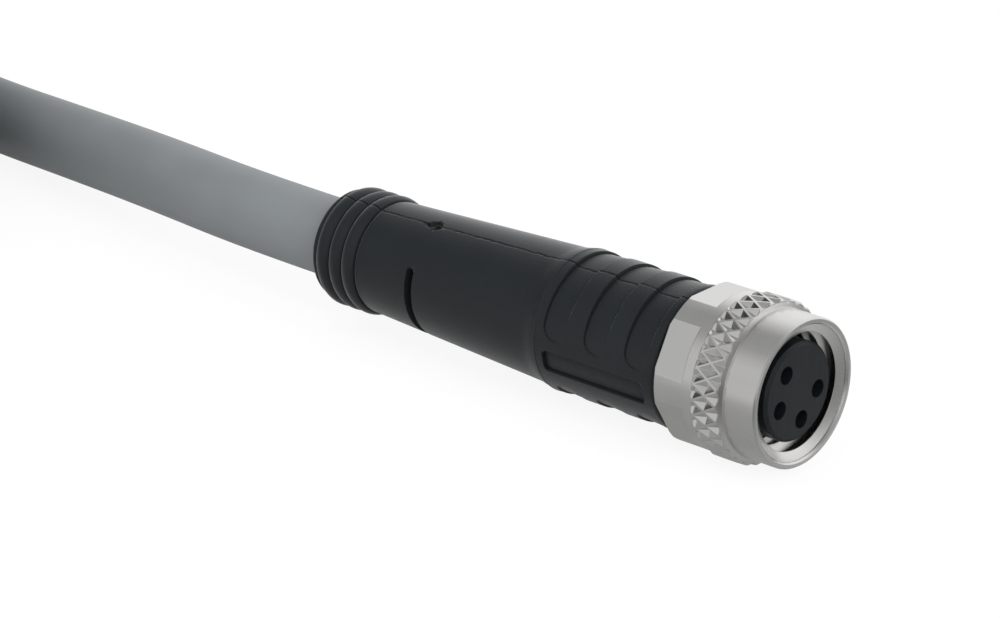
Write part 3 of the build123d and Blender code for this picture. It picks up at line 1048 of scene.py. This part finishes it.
# painted shade of the floor in reflections: darkest just in front of and under the object, white
# behind it
reflected_floor_painted_greys = (
    (0.0, 0.58), (0.18, 0.5), (0.5, 0.29), (0.62, 0.27), (0.66, 0.4), (0.8, 0.6),
    (0.95, 0.85),
)
painted_floor_reflection = math_node(tree, "MULTIPLY", grey_ramp(tree, back, reflected_floor_painted_greys), past_nose_painted_shade)
strength = math_node(tree, "MULTIPLY", rays["Is Glossy Ray"], painted_floor_reflection)
not_glossy = math_node(tree, "SUBTRACT", 1.0, rays["Is Glossy Ray"])
strength = math_node(tree, "ADD", strength, not_glossy)
glow = add_node(tree, "ShaderNodeEmission", Strength=strength)
share = math_node(tree, "ADD", rays["Is Camera Ray"], rays["Is Glossy Ray"])
share = math_node(tree, "MULTIPLY", share, own_white)
share = math_node(tree, "ADD", share, rays["Is Transmission Ray"], clamp=True)
mix = add_node(tree, "ShaderNodeMixShader", Fac=share)
tree.links.new(floor_shader.outputs["BSDF"], mix.inputs[1])
tree.links.new(glow.outputs["Emission"], mix.inputs[2])
tree.links.new(mix.outputs["Shader"], tree.nodes["Material Output"].inputs["Surface"])
wear(floor, floor_material)
print("floor laid")

# %% [markdown]
# The room lights the object evenly from all sides, with white behind it in the picture.
# Shiny surfaces show what stands round them, so in reflections the room is white at the
# back, darker overhead and grey in front, as round a photographer's table. Cards and
# tents could be modelled for that, but a ramp of greys is easier to tune: each stop is
# what one side of the round nut shows.

# %% World
world = bpy.data.worlds.new("studio")
bpy.context.scene.world = world
world.use_nodes = True
sky = world.node_tree
sky.nodes.clear()
rays = add_node(sky, "ShaderNodeLightPath").outputs
direction = add_node(sky, "ShaderNodeTexCoord").outputs["Generated"]
ways = add_node(sky, "ShaderNodeSeparateXYZ", Vector=direction).outputs
back = spread(sky, ways["Y"], -1.0, 1.0, 0.0, 1.0)
room_greys = (
    (0.0, 0.64), (0.117, 0.6), (0.167, 0.68), (0.207, 0.58), (0.257, 0.54), (0.32, 0.37),
    (0.443, 0.36), (0.578, 0.31), (0.645, 0.56), (0.705, 0.66), (0.76, 0.88), (0.83, 0.98),
    (1.0, 1.0),
)
room_color = grey_ramp(sky, back, room_greys)
# the far left of the room is dark, which draws the edges of the knurl
left = spread(sky, ways["X"], -0.86, -0.68, 0.08, 1.0)
room = add_node(sky, "ShaderNodeBackground", Color=room_color, Strength=left)
white = add_node(sky, "ShaderNodeBackground", Color=(1, 1, 1, 1), Strength=1.0)
even = add_node(sky, "ShaderNodeBackground", Color=(0.98, 0.99, 1.0, 1), Strength=0.64)
shown = math_node(sky, "ADD", rays["Is Camera Ray"], rays["Is Transmission Ray"], clamp=True)
inner_mix = add_node(sky, "ShaderNodeMixShader", Fac=rays["Is Glossy Ray"])
sky.links.new(even.outputs["Background"], inner_mix.inputs[1])
sky.links.new(room.outputs["Background"], inner_mix.inputs[2])
outer_mix = add_node(sky, "ShaderNodeMixShader", Fac=shown)
sky.links.new(inner_mix.outputs["Shader"], outer_mix.inputs[1])
sky.links.new(white.outputs["Background"], outer_mix.inputs[2])
sky_out = add_node(sky, "ShaderNodeOutputWorld")
sky.links.new(outer_mix.outputs["Shader"], sky_out.inputs["Surface"])
print("world made")

# %% [markdown]
# Weak, large lamps above, behind, in front and to the right add a direction to the even
# light and lay a soft shadow on the table. One small lamp would do, but its shadow would
# have a hard edge. The nut doesn't mirror them, as its reflections come from the room.

# %% Lamps
def soft_box(name, place, size, power, target=(0, 0, axis_z)):
    """Rectangular lamp that faces the connector, or another target."""
    target = Vector(target)
    facing = (target - Vector(place)).to_track_quat("-Z", "Y").to_euler()
    bpy.ops.object.light_add(type="AREA", location=place, rotation=facing)
    lamp = bpy.context.object
    lamp.name = name
    lamp.data.shape = "RECTANGLE"
    lamp.data.size, lamp.data.size_y = size
    lamp.data.energy = power
    lamp.visible_glossy = False


soft_box("lamp_back", (-0.1, 0.45, 0.35), (0.6, 0.3), 0.8)
soft_box("lamp_top", (-0.1, 0.05, 0.6), (0.4, 0.4), 0.5)
soft_box("lamp_front", (-0.04, -0.25, 0.33), (0.3, 0.3), 0.8, (-0.06, 0.0, 0.0))
soft_box("lamp_right", (0.35, -0.1, 0.22), (0.3, 0.2), 1.2, (-0.06, 0.0, 0.0))
bpy.context.scene.view_settings.view_transform = "Standard"
